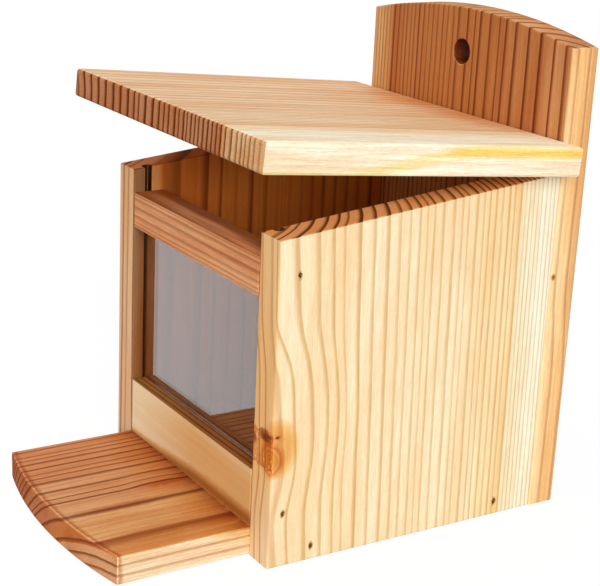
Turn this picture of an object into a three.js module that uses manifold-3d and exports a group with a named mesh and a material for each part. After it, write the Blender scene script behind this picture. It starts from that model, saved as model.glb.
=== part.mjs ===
// A squirrel feeder box of larch boards, in millimetres, with +Z up and the front towards -Y.
// A tall back board carries two grooved sides, a floor that reaches forward as a platform,
// a clear pane held in the grooves under a rail, and a lid on two small butt hinges.
import * as THREE from "three";
import { mergeVertices } from "three/addons/utils/BufferGeometryUtils.js";
import Module from "manifold-3d";

const wasm = await Module();
wasm.setup();

// The box: two sides between the back board and the front edges
const boxWidth = 208;
const boxDepth = 200;
const sideThickness = 22;
const sideFrontHeight = 203;
const sideRearHeight = 224;

// The back board, with an arched top and the hole that the feeder hangs on
const backThickness = 20;
const backShoulderHeight = 300;
const backArchRise = 12;
const hangingHoleRadius = 7.8;
const hangingHoleDrop = 17; // below the shoulders
const hangingHoleOffset = -3;
const hangingHoleChamfer = 1.2;

// The floor, which runs out between the sides as a platform with a bowed front
const floorThickness = 18.5;
const platformReach = 88;
const platformBow = 10;

// The low board under the window and the rail over it
const kickHeight = 38;
const kickThickness = 20;
const railDrop = 15; // below the front top corners of the sides
const railHeight = 23.5;
const railDepth = 21;

// The pane and the grooves milled for it in both sides
const paneThickness = 4;
const paneClearance = 0.3;
const grooveSetback = 8;
const grooveDepth = 5.5;

// The lid, standing open at rest
const lidSideOverhang = 18;
const lidFrontOverhang = 23;
const lidThickness = 18.5;
const lidRestTilt = 5.4; // degrees by which the front edge stands above the rear one
const lidRearLead = 0.3; // how far the rear edge stands in front of the hinge axis

// Two butt hinges in the inner corner between the lid and the back board
const hingeLength = 40;
const hingeLeafWidth = 17;
const hingeLeafThickness = 1.2;
const hingeKnuckleRadius = 2.5;
const hingePinRadius = 1.2;
const hingePinClearance = 0.2;
const hingePinHeadRadius = 1.9;
const hingePinHeadThickness = 0.7;
const hingeKnuckleCount = 5;
const hingeKnuckleGap = 0.3;
const hingeInset = 10; // from the inner face of the side to the near end of the hinge
const hingeAxisDrop = 1.4; // below the rear top corner of the sides
const hingeCornerRadius = 2;

// Fasteners: brads through the sides, screws through the back board, small screws in the hinges
const brad = {
  length: 42,
  tipLength: 2.5,
  shankRadius: 0.75,
  headRadius: 1.2,
  headDepth: 0.8,
  rimDepth: 0.8,
  sink: 0.3,
};
const backScrew = {
  length: 50,
  tipLength: 5,
  shankRadius: 1.8,
  headRadius: 3.6,
  headDepth: 3,
  rimDepth: 0.4,
  sink: 0.2,
};
const hingeScrew = {
  length: 11,
  tipLength: 2.5,
  shankRadius: 1.1,
  headRadius: 2.2,
  headDepth: 1.4,
  rimDepth: 0.2,
  sink: 0,
};
const fastenerClearance = 0.15;

// Where the fasteners stand, as shares of the boards that they hold
const railBradDepthShare = 0.65;
const railBradHeightShare = 0.74;
const kickBradDepthShare = 0.46;
const kickBradHeightShare = 0.43;
const floorBradDepthShares = [0.15, 0.85];
const sideScrewHeightShares = [0.14, 0.5, 0.86];
const floorScrewWidthShares = [0.25, 0.75];
const hingeScrewLengthShares = [0.2, 0.8];
const hingeScrewWidthShare = 0.62;

// Edges, joints and facets
const boardArris = 1.1;
const lidArris = 1.8;
const paneArris = 0.3;
const jointGap = 0.05; // between boards that are nailed face to face
const seatGap = 0.3; // between pieces that meet at a slant or in the turned lid
const cutOverrun = 1;
const weldDistance = 1e-4;
const arrisSegments = 2;
const archSegments = 40;
const holeSegments = 40;
const fastenerSegments = 14;
const knuckleSegments = 20;

// Sizes and places that follow from the ones above
const innerHalfWidth = boxWidth / 2 - sideThickness;
const innerWidth = (innerHalfWidth - jointGap) * 2;
const hangingHoleHeight = backShoulderHeight - hangingHoleDrop;
const kickTopHeight = floorThickness + jointGap + kickHeight;
const railTopHeight = sideFrontHeight - railDrop;
const railUnderside = railTopHeight - railHeight;
const grooveWidth = paneThickness + paneClearance * 2;
const lidWidth = boxWidth + lidSideOverhang * 2;
const lidLength = boxDepth + lidFrontOverhang;
const hingeAxisY = boxDepth - jointGap - hingeKnuckleRadius;
const hingeAxisZ = sideRearHeight - hingeAxisDrop;
const lidUnderside = hingeKnuckleRadius + seatGap;
const leafFace = hingeKnuckleRadius - hingeLeafThickness;
const hingeScrewReach = hingeLeafWidth * hingeScrewWidthShare;
const hingeMiddle = innerHalfWidth - hingeInset - hingeLength / 2;
const hingeMiddles = { left: -hingeMiddle, right: hingeMiddle };
const frontReach = platformReach + platformBow;
const rearReach = boxDepth + backThickness;
const originY = (rearReach - frontReach) / 2;

// Finishes
const finishes = {
  sapwood: { color: "#eccb98", roughness: 0.62, metalness: 0 },
  heartwood: { color: "#b9783f", roughness: 0.6, metalness: 0 },
  platformWood: { color: "#c68d5c", roughness: 0.65, metalness: 0 },
  railWood: { color: "#c98255", roughness: 0.6, metalness: 0 },
  lidWood: { color: "#deb78d", roughness: 0.6, metalness: 0 },
  zincSteel: { color: "#c3c4c6", roughness: 0.35, metalness: 1 },
  clearAcrylic: { color: "#eef2f2", roughness: 0.03, metalness: 0, transparent: true, opacity: 0.25 },
};

// Directions, and the ways in which a flat outline is stood up
const quarterTurn = Math.PI / 2;
const alongX = new THREE.Vector3(1, 0, 0);
const alongY = new THREE.Vector3(0, 1, 0);
const alongZ = new THREE.Vector3(0, 0, 1);
const downY = alongY.clone().negate();
const seenFromAbove = new THREE.Matrix4();
const seenFromTheFront = new THREE.Matrix4().makeBasis(alongX, alongZ, downY);
const seenFromTheSide = new THREE.Matrix4().makeBasis(alongY, alongZ, alongX);
const hungDown = new THREE.Matrix4().makeBasis(alongX.clone().negate(), alongZ, alongY);

// A closed geometry as a solid that can be cut and joined
function solidOf(geometry) {
  const bare = geometry.clone();
  bare.deleteAttribute("normal");
  bare.deleteAttribute("uv");
  const merged = mergeVertices(bare, weldDistance);
  const corners = merged.index.array;
  const kept = [];
  for (let i = 0; i < corners.length; i += 3) {
    const [a, b, c] = corners.slice(i, i + 3);
    if (a !== b && b !== c && c !== a) kept.push(a, b, c);
  }
  return new wasm.Manifold(new wasm.Mesh({
    numProp: 3,
    vertProperties: Float32Array.from(merged.attributes.position.array),
    triVerts: Uint32Array.from(kept),
  }));
}

function geometryOf(solid) {
  const mesh = solid.getMesh();
  const geometry = new THREE.BufferGeometry();
  geometry.setAttribute("position", new THREE.BufferAttribute(mesh.vertProperties, mesh.numProp));
  geometry.setIndex(new THREE.BufferAttribute(mesh.triVerts, 1));
  geometry.computeVertexNormals();
  return geometry;
}

// A piece is modelled where it sits in its group. Its mesh gets an origin of its own there
function addPiece(group, name, solid, origin, finish) {
  const geometry = geometryOf(solid).translate(-origin.x, -origin.y, -origin.z);
  const mesh = new THREE.Mesh(geometry, new THREE.MeshStandardMaterial(finish));
  mesh.name = name;
  mesh.position.copy(origin);
  group.add(mesh);
}

// An outline sawn from a board, with every arris eased by the same radius
function sawnBoard(outline, thickness, arris) {
  return new THREE.ExtrudeGeometry(outline, {
    depth: thickness - arris * 2,
    bevelEnabled: true,
    bevelThickness: arris,
    bevelSize: arris,
    bevelOffset: -arris,
    bevelSegments: arrisSegments,
    curveSegments: archSegments,
  }).translate(0, 0, arris);
}

function plainExtrusion(outline, depth, curveSegments) {
  return new THREE.ExtrudeGeometry(outline, { depth, bevelEnabled: false, curveSegments });
}

function rectangle(left, bottom, right, top) {
  const outline = new THREE.Shape();
  outline.moveTo(left, bottom);
  outline.lineTo(right, bottom);
  outline.lineTo(right, top);
  outline.lineTo(left, top);
  outline.closePath();
  return outline;
}

function block(low, high) {
  const size = high.clone().sub(low);
  const middle = low.clone().add(high).divideScalar(2);
  return solidOf(new THREE.BoxGeometry(size.x, size.y, size.z).translate(middle.x, middle.y, middle.z));
}

// A circle through both ends of a chord and a point that stands off its middle by the rise
function bowRadius(chord, rise) {
  const half = chord / 2;
  return (half * half + rise * rise) / (rise * 2);
}

// A nail or screw as a turned profile from tip to head, its head flush with the height zero
function fastenerProfile(size, clearance, lift) {
  return [
    new THREE.Vector2(0, -size.length - clearance),
    new THREE.Vector2(size.shankRadius + clearance, -size.length + size.tipLength),
    new THREE.Vector2(size.shankRadius + clearance, -size.headDepth - clearance),
    new THREE.Vector2(size.headRadius + clearance, -size.rimDepth - clearance),
    new THREE.Vector2(size.headRadius + clearance, lift),
    new THREE.Vector2(0, lift),
  ];
}

// A fastener is placed by the point where its head meets the wood and the way that its head faces
function turned(profile, place, facing, segments) {
  const turn = new THREE.Quaternion().setFromUnitVectors(alongY, facing);
  const geometry = new THREE.LatheGeometry(profile, segments);
  geometry.applyQuaternion(turn);
  geometry.translate(place.x, place.y, place.z);
  return solidOf(geometry);
}

function fastener(spot) {
  const place = spot.place.clone().addScaledVector(spot.facing, -spot.size.sink);
  return turned(fastenerProfile(spot.size, 0, 0), place, spot.facing, fastenerSegments);
}

function fastenerHole(spot) {
  const lift = spot.size.sink + cutOverrun;
  const place = spot.place.clone().addScaledVector(spot.facing, -spot.size.sink);
  return turned(fastenerProfile(spot.size, fastenerClearance, lift), place, spot.facing, fastenerSegments);
}

function drilled(solid, spots) {
  return spots.reduce((left, spot) => left.subtract(fastenerHole(spot)), solid);
}

// Brads through one side into the rail, the low board and the floor. The hand is -1 left, 1 right
function sideBrads(hand) {
  const places = {
    rail: [railDepth * railBradDepthShare, railUnderside + railHeight * railBradHeightShare],
    kick: [kickThickness * kickBradDepthShare, floorThickness + kickHeight * kickBradHeightShare],
    floor_front: [boxDepth * floorBradDepthShares[0], floorThickness / 2],
    floor_rear: [boxDepth * floorBradDepthShares[1], floorThickness / 2],
  };
  return Object.entries(places).map(([what, [y, z]]) => ({
    what,
    size: brad,
    place: new THREE.Vector3(hand * boxWidth / 2, y, z),
    facing: alongX.clone().multiplyScalar(hand),
  }));
}

// Screws through the back board, up the middle of each side and along the middle of the floor
function backScrews() {
  const besideX = boxWidth / 2 - sideThickness / 2;
  const upTheSides = [-1, 1].flatMap((hand) => sideScrewHeightShares.map((share, index) => ({
    what: `${hand < 0 ? "left" : "right"}_${index + 1}`,
    x: hand * besideX,
    z: sideRearHeight * share,
  })));
  const alongTheFloor = floorScrewWidthShares.map((share, index) => ({
    what: `floor_${index + 1}`,
    x: innerHalfWidth * (share * 2 - 1),
    z: floorThickness / 2,
  }));
  return [...upTheSides, ...alongTheFloor].map(({ what, x, z }) => ({
    what,
    size: backScrew,
    place: new THREE.Vector3(x, rearReach, z),
    facing: alongY.clone(),
  }));
}

// The screws of one hinge leaf. The axis is the origin, the sheet reaches along -Y and lies over it
function leafScrews() {
  return hingeScrewLengthShares.map((share, index) => ({
    what: `${index + 1}`,
    size: hingeScrew,
    place: new THREE.Vector3(hingeLength * share - hingeLength / 2, -hingeScrewReach, leafFace),
    facing: alongZ.clone().negate(),
  }));
}

// The same screws where they stand under the lid, or turned down against the back board
function screwsUnderTheLid(hingeX) {
  return leafScrews().map((spot) => ({ ...spot, place: spot.place.setX(spot.place.x + hingeX) }));
}

function screwsInTheBack(hingeX) {
  const axis = new THREE.Vector3(hingeX, hingeAxisY, hingeAxisZ);
  return leafScrews().map((spot) => ({
    ...spot,
    place: spot.place.applyMatrix4(hungDown).add(axis),
    facing: spot.facing.applyMatrix4(hungDown),
  }));
}

// Sloped at the top, grooved near the front for the pane, and nailed and screwed to its neighbours
function side(hand) {
  const outline = new THREE.Shape();
  outline.moveTo(0, 0);
  outline.lineTo(boxDepth - jointGap, 0);
  outline.lineTo(boxDepth - jointGap, sideRearHeight);
  outline.lineTo(0, sideFrontHeight);
  outline.closePath();
  const panel = sawnBoard(outline, sideThickness, boardArris).applyMatrix4(seenFromTheSide);
  panel.translate(hand < 0 ? -boxWidth / 2 : innerHalfWidth, 0, 0);
  const grooveMouth = hand * (innerHalfWidth - cutOverrun);
  const grooveBottom = hand * (innerHalfWidth + grooveDepth);
  const groove = block(
    new THREE.Vector3(Math.min(grooveMouth, grooveBottom), grooveSetback, -cutOverrun),
    new THREE.Vector3(Math.max(grooveMouth, grooveBottom), grooveSetback + grooveWidth, sideRearHeight),
  );
  return drilled(solidOf(panel).subtract(groove), [...sideBrads(hand), ...backScrews()]);
}

// Drawn from the front: straight up to the shoulders, then one flat arc over the top
function backBoard() {
  const half = boxWidth / 2;
  const radius = bowRadius(boxWidth, backArchRise);
  const centreHeight = backShoulderHeight + backArchRise - radius;
  const shoulderAngle = Math.atan2(backShoulderHeight - centreHeight, half);
  const outline = new THREE.Shape();
  outline.moveTo(-half, 0);
  outline.lineTo(half, 0);
  outline.lineTo(half, backShoulderHeight);
  outline.absarc(0, centreHeight, radius, shoulderAngle, Math.PI - shoulderAngle, false);
  outline.closePath();
  const board = sawnBoard(outline, backThickness, boardArris).applyMatrix4(seenFromTheFront);
  board.translate(0, rearReach, 0);
  const hole = turned(
    hangingHoleProfile(),
    new THREE.Vector3(hangingHoleOffset, boxDepth, hangingHoleHeight),
    alongY,
    holeSegments,
  );
  const hingeSpots = Object.values(hingeMiddles).flatMap(screwsInTheBack);
  return drilled(solidOf(board).subtract(hole), [...backScrews(), ...hingeSpots]);
}

// The hanging hole with its rim eased at both faces
function hangingHoleProfile() {
  const wide = hangingHoleRadius + hangingHoleChamfer + cutOverrun;
  return [
    new THREE.Vector2(0, -cutOverrun),
    new THREE.Vector2(wide, -cutOverrun),
    new THREE.Vector2(hangingHoleRadius, hangingHoleChamfer),
    new THREE.Vector2(hangingHoleRadius, backThickness - hangingHoleChamfer),
    new THREE.Vector2(wide, backThickness + cutOverrun),
    new THREE.Vector2(0, backThickness + cutOverrun),
  ];
}

// One plank from the back board out to the bowed front of the platform
function floorBoard() {
  const half = innerWidth / 2;
  const radius = bowRadius(innerWidth, platformBow);
  const centreY = radius - frontReach;
  const cornerAngle = Math.atan2(-platformReach - centreY, half);
  const outline = new THREE.Shape();
  outline.moveTo(half, boxDepth - jointGap);
  outline.lineTo(-half, boxDepth - jointGap);
  outline.lineTo(-half, -platformReach);
  outline.absarc(0, centreY, radius, -Math.PI - cornerAngle, cornerAngle, false);
  outline.closePath();
  const plank = sawnBoard(outline, floorThickness, boardArris).applyMatrix4(seenFromAbove);
  return drilled(solidOf(plank), [...sideBrads(-1), ...sideBrads(1), ...backScrews()]);
}

// The board that stands on the floor under the window, flush with the fronts of the sides
function kickBoard() {
  const outline = rectangle(0, floorThickness + jointGap, kickThickness, kickTopHeight);
  const strip = sawnBoard(outline, innerWidth, boardArris).applyMatrix4(seenFromTheSide);
  strip.translate(-innerWidth / 2, 0, 0);
  return drilled(solidOf(strip), [...sideBrads(-1), ...sideBrads(1)]);
}

// The rail over the window, deep enough to close the grooves over the pane
function topRail() {
  const outline = rectangle(0, railUnderside, railDepth, railTopHeight);
  const strip = sawnBoard(outline, innerWidth, boardArris).applyMatrix4(seenFromTheSide);
  strip.translate(-innerWidth / 2, 0, 0);
  return drilled(solidOf(strip), [...sideBrads(-1), ...sideBrads(1)]);
}

// The clear pane stands on the low board, in both grooves, and ends under the rail
function windowPane() {
  const half = innerHalfWidth + grooveDepth - paneClearance;
  const bottom = kickTopHeight + paneClearance;
  const top = railUnderside - paneClearance;
  const outline = rectangle(-half, bottom, half, top);
  const sheet = sawnBoard(outline, paneThickness, paneArris).applyMatrix4(seenFromTheFront);
  sheet.translate(0, grooveSetback + paneClearance + paneThickness, 0);
  return solidOf(sheet);
}

// In the lid's own frame the hinge axis is the origin and the underside is level
function lid() {
  const outline = rectangle(-lidWidth / 2, -lidRearLead - lidLength, lidWidth / 2, -lidRearLead);
  const plank = sawnBoard(outline, lidThickness, lidArris).applyMatrix4(seenFromAbove);
  plank.translate(0, 0, lidUnderside);
  return drilled(solidOf(plank), Object.values(hingeMiddles).flatMap(screwsUnderTheLid));
}

// A leaf rolled round the pin, drawn along the axis: the sheet reaches to the left, over the pin
function leafOutline() {
  const meeting = Math.sqrt(hingeKnuckleRadius ** 2 - leafFace ** 2);
  const outline = new THREE.Shape();
  outline.moveTo(0, hingeKnuckleRadius);
  outline.lineTo(-hingeLeafWidth, hingeKnuckleRadius);
  outline.lineTo(-hingeLeafWidth, leafFace);
  outline.lineTo(-meeting, leafFace);
  outline.absarc(0, 0, hingeKnuckleRadius, Math.atan2(leafFace, -meeting), quarterTurn * 5, false);
  const bore = new THREE.Path();
  bore.absarc(0, 0, hingePinRadius + hingePinClearance, 0, quarterTurn * 4, true);
  outline.holes.push(bore);
  return outline;
}

// A cylinder along the axis of the hinges
function axisCylinder(radius, fromX, toX) {
  const profile = [
    new THREE.Vector2(0, fromX),
    new THREE.Vector2(radius, fromX),
    new THREE.Vector2(radius, toX),
    new THREE.Vector2(0, toX),
  ];
  return turned(profile, new THREE.Vector3(), alongX, knuckleSegments);
}

// A leaf seen from above, with its two free corners rounded
function leafPlan() {
  const half = hingeLength / 2;
  const corner = hingeCornerRadius;
  const outline = new THREE.Shape();
  outline.moveTo(half, hingeKnuckleRadius + cutOverrun);
  outline.lineTo(-half, hingeKnuckleRadius + cutOverrun);
  outline.absarc(-half + corner, -hingeLeafWidth + corner, corner, quarterTurn * 2, quarterTurn * 3, false);
  outline.absarc(half - corner, -hingeLeafWidth + corner, corner, quarterTurn * 3, quarterTurn * 4, false);
  outline.closePath();
  return outline;
}

// One leaf with the axis as its origin, its sheet reaching along -Y and lying over the pin.
// The knuckles are counted from one end, and a leaf keeps the even or the odd ones
function hingeLeaf(keepsEven, spots) {
  const rolledLength = hingeLength + cutOverrun * 2;
  const rolled = plainExtrusion(leafOutline(), rolledLength, knuckleSegments).applyMatrix4(seenFromTheSide);
  rolled.translate(-rolledLength / 2, 0, 0);
  const planHeight = (hingeKnuckleRadius + cutOverrun) * 2;
  const plan = plainExtrusion(leafPlan(), planHeight, fastenerSegments).translate(0, 0, -planHeight / 2);
  const pitch = hingeLength / hingeKnuckleCount;
  let leaf = solidOf(rolled).intersect(solidOf(plan));
  for (let i = 0; i < hingeKnuckleCount; i += 1) {
    const isKept = (i % 2 === 0) === keepsEven;
    const from = -hingeLength / 2 + pitch * i;
    const before = i === 0 ? cutOverrun : hingeKnuckleGap / 2;
    const after = i === hingeKnuckleCount - 1 ? cutOverrun : hingeKnuckleGap / 2;
    const space = axisCylinder(hingeKnuckleRadius + hingeKnuckleGap, from - before, from + pitch + after);
    if (!isKept) leaf = leaf.subtract(space);
  }
  return drilled(leaf, spots);
}

// The pin, with a small riveted head past each end of the knuckles
function hingePin() {
  const inner = hingeLength / 2 + hingePinClearance;
  const outer = inner + hingePinHeadThickness;
  const profile = [
    new THREE.Vector2(0, -outer),
    new THREE.Vector2(hingePinRadius, -outer),
    new THREE.Vector2(hingePinHeadRadius, -inner - hingePinHeadThickness / 2),
    new THREE.Vector2(hingePinHeadRadius, -inner),
    new THREE.Vector2(hingePinRadius, -inner),
    new THREE.Vector2(hingePinRadius, inner),
    new THREE.Vector2(hingePinHeadRadius, inner),
    new THREE.Vector2(hingePinHeadRadius, inner + hingePinHeadThickness / 2),
    new THREE.Vector2(hingePinRadius, outer),
    new THREE.Vector2(0, outer),
  ];
  return turned(profile, new THREE.Vector3(), alongX, knuckleSegments);
}

// The box is modelled in place, with the front edges at Y zero and the ground at Z zero
function addBox(feeder) {
  const { sapwood, heartwood, platformWood, railWood, zincSteel, clearAcrylic } = finishes;
  const ground = (x, y) => new THREE.Vector3(x, y, 0);
  const over = (y, z) => new THREE.Vector3(0, y, z);
  addPiece(feeder, "back_board", backBoard(), ground(0, boxDepth), heartwood);
  addPiece(feeder, "left_side", side(-1), ground(-boxWidth / 2, 0), sapwood);
  addPiece(feeder, "right_side", side(1), ground(boxWidth / 2, 0), sapwood);
  addPiece(feeder, "floor_board", floorBoard(), ground(0, 0), platformWood);
  addPiece(feeder, "kick_board", kickBoard(), over(0, floorThickness), sapwood);
  addPiece(feeder, "top_rail", topRail(), over(0, railUnderside), railWood);
  addPiece(feeder, "window_pane", windowPane(), over(grooveSetback, kickTopHeight), clearAcrylic);
  for (const [hand, name] of [[-1, "left"], [1, "right"]]) {
    for (const spot of sideBrads(hand)) {
      addPiece(feeder, `${name}_${spot.what}_brad`, fastener(spot), spot.place, zincSteel);
    }
  }
  for (const spot of backScrews()) {
    addPiece(feeder, `back_screw_${spot.what}`, fastener(spot), spot.place, zincSteel);
  }
}

// The still half of a hinge: its leaf on the back board, the pin and the leaf's screws
function addStillHalf(hinge, name) {
  const spots = leafScrews();
  const hung = (solid) => solidOf(geometryOf(solid).applyMatrix4(hungDown));
  const middle = new THREE.Vector3();
  addPiece(hinge, `${name}_back_leaf`, hung(hingeLeaf(true, spots)), middle, finishes.zincSteel);
  addPiece(hinge, `${name}_pin`, hingePin(), middle, finishes.zincSteel);
  for (const spot of spots) {
    addPiece(hinge, `${name}_back_screw_${spot.what}`, hung(fastener(spot)), middle, finishes.zincSteel);
  }
}

// The moving half: the leaf under the lid and its screws
function addMovingHalf(hinge, name) {
  const spots = leafScrews();
  const middle = new THREE.Vector3();
  addPiece(hinge, `${name}_lid_leaf`, hingeLeaf(false, spots), middle, finishes.zincSteel);
  for (const spot of spots) {
    addPiece(hinge, `${name}_lid_screw_${spot.what}`, fastener(spot), middle, finishes.zincSteel);
  }
}

function groupAt(parent, x, y, z) {
  const group = new THREE.Group();
  group.position.set(x, y, z);
  parent.add(group);
  return group;
}

// The origin is on the ground under the middle of the whole feeder
const feeder = new THREE.Group();
const box = groupAt(feeder, 0, -originY, 0);
addBox(box);

// The lid turns about the hinge axis, and stands open at rest
const lidGroup = groupAt(box, 0, hingeAxisY, hingeAxisZ);
lidGroup.rotation.x = -THREE.MathUtils.degToRad(lidRestTilt);
addPiece(lidGroup, "lid", lid(), new THREE.Vector3(0, 0, lidUnderside), finishes.lidWood);

for (const [name, x] of Object.entries(hingeMiddles)) {
  addStillHalf(groupAt(box, x, hingeAxisY, hingeAxisZ), `${name}_hinge`);
  addMovingHalf(groupAt(lidGroup, x, 0, 0), `${name}_hinge`);
}

export default feeder;
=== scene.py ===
# Squirrel feeder of planed larch: materials, fasteners, light and camera round the fixed frame.
# Lengths are metres in the frame's own axes: +Z up, the platform towards -Y.
import math
import random
import bpy
from mathutils import Matrix, Vector


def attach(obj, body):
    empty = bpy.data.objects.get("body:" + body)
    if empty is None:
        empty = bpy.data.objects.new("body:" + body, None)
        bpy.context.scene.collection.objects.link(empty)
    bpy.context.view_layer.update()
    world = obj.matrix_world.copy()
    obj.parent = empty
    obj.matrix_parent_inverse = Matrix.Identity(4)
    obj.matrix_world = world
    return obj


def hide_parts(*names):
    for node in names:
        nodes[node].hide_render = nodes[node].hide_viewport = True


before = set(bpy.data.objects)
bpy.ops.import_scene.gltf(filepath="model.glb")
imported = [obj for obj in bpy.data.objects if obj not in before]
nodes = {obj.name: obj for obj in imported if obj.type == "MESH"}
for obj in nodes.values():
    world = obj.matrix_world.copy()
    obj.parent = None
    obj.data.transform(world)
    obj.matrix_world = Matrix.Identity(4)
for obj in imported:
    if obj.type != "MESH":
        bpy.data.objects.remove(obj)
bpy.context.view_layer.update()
scene = bpy.context.scene
mm = 0.001
print("frame loaded:", len(nodes), "nodes")


# Small helpers
def hexColor(code):
    channels = [int(code[i:i + 2], 16) / 255 for i in (1, 3, 5)]
    linear = [c / 12.92 if c <= 0.04045 else ((c + 0.055) / 1.055) ** 2.4 for c in channels]
    return (*linear, 1.0)


def addNode(tree, kind, inputs=None, **settings):
    node = tree.nodes.new(kind)
    for name, value in settings.items():
        setattr(node, name, value)
    for socket, value in (inputs or {}).items():
        if isinstance(value, bpy.types.NodeSocket):
            tree.links.new(value, node.inputs[socket])
        else:
            node.inputs[socket].default_value = value
    return node


def newMaterial(name):
    material = bpy.data.materials.new(name)
    material.use_nodes = True
    material.node_tree.nodes.clear()
    return material, material.node_tree


def wear(material, *names):
    for name in names:
        slots = nodes[name].data.materials
        slots.clear()
        slots.append(material)


# Camera, at the photograph's place and angle
cameraView = {
    "place": (0.77682, -0.47888, 0.42670),
    "yaw": 59.729,
    "pitch": -17.815,
    "roll": 1.991,
    "lens": 89.22,
    "shiftX": 0.1,
}
camera = bpy.data.objects.new("camera", bpy.data.cameras.new("camera"))
scene.collection.objects.link(camera)
turn = Matrix.Rotation(math.radians(cameraView["yaw"]), 4, "Z")
turn = turn @ Matrix.Rotation(math.radians(90 + cameraView["pitch"]), 4, "X")
turn = turn @ Matrix.Rotation(math.radians(cameraView["roll"]), 4, "Z")
camera.matrix_world = Matrix.Translation(cameraView["place"]) @ turn
camera.data.lens = cameraView["lens"]
camera.data.shift_x = cameraView["shiftX"]
scene.camera = camera
scene.view_settings.view_transform = "Standard"
print("camera set")


# Light: one big soft key from the right, a weak one from above and an even white room
studio = {
    "room": 0.38,
    "keyStrength": 2.5,
    "keyFrom": (0.85, -0.38, 0.38),
    "keyAngle": 35,
    "topStrength": 0.8,
    "topFrom": (-0.15, -0.2, 1.0),
    "topAngle": 60,
    "floorSize": 24,
    "floorDrop": 0.02 * mm,
    "floorWhiteShare": 0.85,
    "floorWhite": 1.1,
    "floorGrey": 0.5,
}
for name in ("key", "top"):
    lamp = bpy.data.objects.new(name + "Light", bpy.data.lights.new(name + "Light", "SUN"))
    lamp.data.energy = studio[name + "Strength"]
    lamp.data.angle = math.radians(studio[name + "Angle"])
    lamp.rotation_mode = "QUATERNION"
    lamp.rotation_quaternion = Vector(studio[name + "From"]).to_track_quat("Z", "Y")
    scene.collection.objects.link(lamp)


def seenDirectly(tree):
    rays = addNode(tree, "ShaderNodeLightPath")
    seen = addNode(tree, "ShaderNodeMath", {0: rays.outputs["Is Camera Ray"], 1: rays.outputs["Is Glossy Ray"]},
                   operation="MAXIMUM")
    return addNode(tree, "ShaderNodeMath", {0: seen.outputs[0], 1: rays.outputs["Is Transmission Ray"]},
                   operation="MAXIMUM").outputs[0]


world = bpy.data.worlds.new("studioRoom")
world.use_nodes = True
scene.world = world
tree = world.node_tree
tree.nodes.clear()
room = addNode(tree, "ShaderNodeBackground", {"Color": (1, 1, 1, 1), "Strength": studio["room"]})
white = addNode(tree, "ShaderNodeBackground", {"Color": (1, 1, 1, 1), "Strength": 1.0})
either = addNode(tree, "ShaderNodeMixShader", {0: seenDirectly(tree), 1: room.outputs[0], 2: white.outputs[0]})
addNode(tree, "ShaderNodeOutputWorld", {"Surface": either.outputs[0]})

half = studio["floorSize"] / 2
floorMesh = bpy.data.meshes.new("studioFloor")
floorMesh.from_pydata([(-half, -half, 0), (half, -half, 0), (half, half, 0), (-half, half, 0)], [], [(0, 1, 2, 3)])
floor = bpy.data.objects.new("studioFloor", floorMesh)
floor.location.z = -studio["floorDrop"]
scene.collection.objects.link(floor)
paper, tree = newMaterial("white paper sweep")
share = addNode(tree, "ShaderNodeMath", {0: seenDirectly(tree), 1: studio["floorWhiteShare"]}, operation="MULTIPLY")
grey = studio["floorGrey"]
matt = addNode(tree, "ShaderNodeBsdfDiffuse", {"Color": (grey, grey, grey, 1)})
glow = addNode(tree, "ShaderNodeEmission", {"Color": (1, 1, 1, 1), "Strength": studio["floorWhite"]})
either = addNode(tree, "ShaderNodeMixShader", {0: share.outputs[0], 1: matt.outputs[0], 2: glow.outputs[0]})
fromBelow = addNode(tree, "ShaderNodeNewGeometry").outputs["Backfacing"]
through = addNode(tree, "ShaderNodeBsdfTransparent")
either = addNode(tree, "ShaderNodeMixShader", {0: fromBelow, 1: either.outputs[0], 2: through.outputs[0]})
addNode(tree, "ShaderNodeOutputMaterial", {"Surface": either.outputs[0]})
floorMesh.materials.append(paper)
print("studio lit")


# Larch, planed and left bare: pale earlywood, hard dark latewood lines, silky along the fibre and
# dull and darker on the sawn ends. One solid pattern per board, so that its faces and ends agree.
# Each board says where its pith ran, and where the year rings cross the face that shows them best.
larch = {
    "wander": 1.0 * mm,        # how far a ring strays from a true circle
    "wanderLength": 60 * mm,
    "ragged": 0.30 * mm,       # fine waviness of a latewood line
    "raggedLength": 6 * mm,
    "stepSpread": (0.85, 1.15),  # how much the years beyond the drawn ones vary in width
    "darkest": 0.9,            # share of a year where the latewood is full, and where it breaks off
    "breaksOff": 0.94,
    "grainStretch": 0.1,       # patterns run ten times longer along the fibre than across it
    "fibreWidth": 0.8 * mm,    # real tracheids are finer than a pixel, so they are drawn in bundles
    "fibreStretch": 0.03,
    "bandWidth": 2.6 * mm,     # broader streaks of deeper and paler wood
    "fleckWidth": 0.5 * mm,    # short torn fibres, ten times longer than wide
    "broaderShare": 0.7,       # strength of both, as a share of the fine streaks
    "streakColors": (0.5, 1.0, 1.5),  # a darker streak is a redder one: it loses little red and much blue
    "toneWidth": 26 * mm,
    "toneRange": (0.35, 0.65),  # the part of each noise that is stretched from one end to the other
    "fibreRange": (0.25, 0.75),
    "coarseRange": (0.3, 0.7),
    "poreWidth": 0.7 * mm,     # the open texture of a sawn end
    "poreDepth": 0.2,
    "sawnFrom": 0.45,          # how squarely a face cuts the fibre where it starts to look sawn, and where it does
    "sawnFull": 0.85,
    "sawnBroader": 0.07,       # share of a year by which the latewood looks broader on a sawn end
    "sawnBold": 1.3,           # how much bolder every year is written there
    "sawnStain": 0.92,         # how far the latewood turns to the sawn end's own dark tint
    "spotRagged": 4 * mm,      # length of the waves in the rim of a stain or knot
    "gloss": (0.18, 0.04),     # planed, and on a sawn end
    "roughness": (0.5, 0.8),
    "fibreRoughness": 0.12,
    "bump": 0.10 * mm,
    "bumpStrength": 0.7,
    "lateRelief": 0.7,         # the hard latewood stands proud of the fibres by this much of the bump
}


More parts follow.
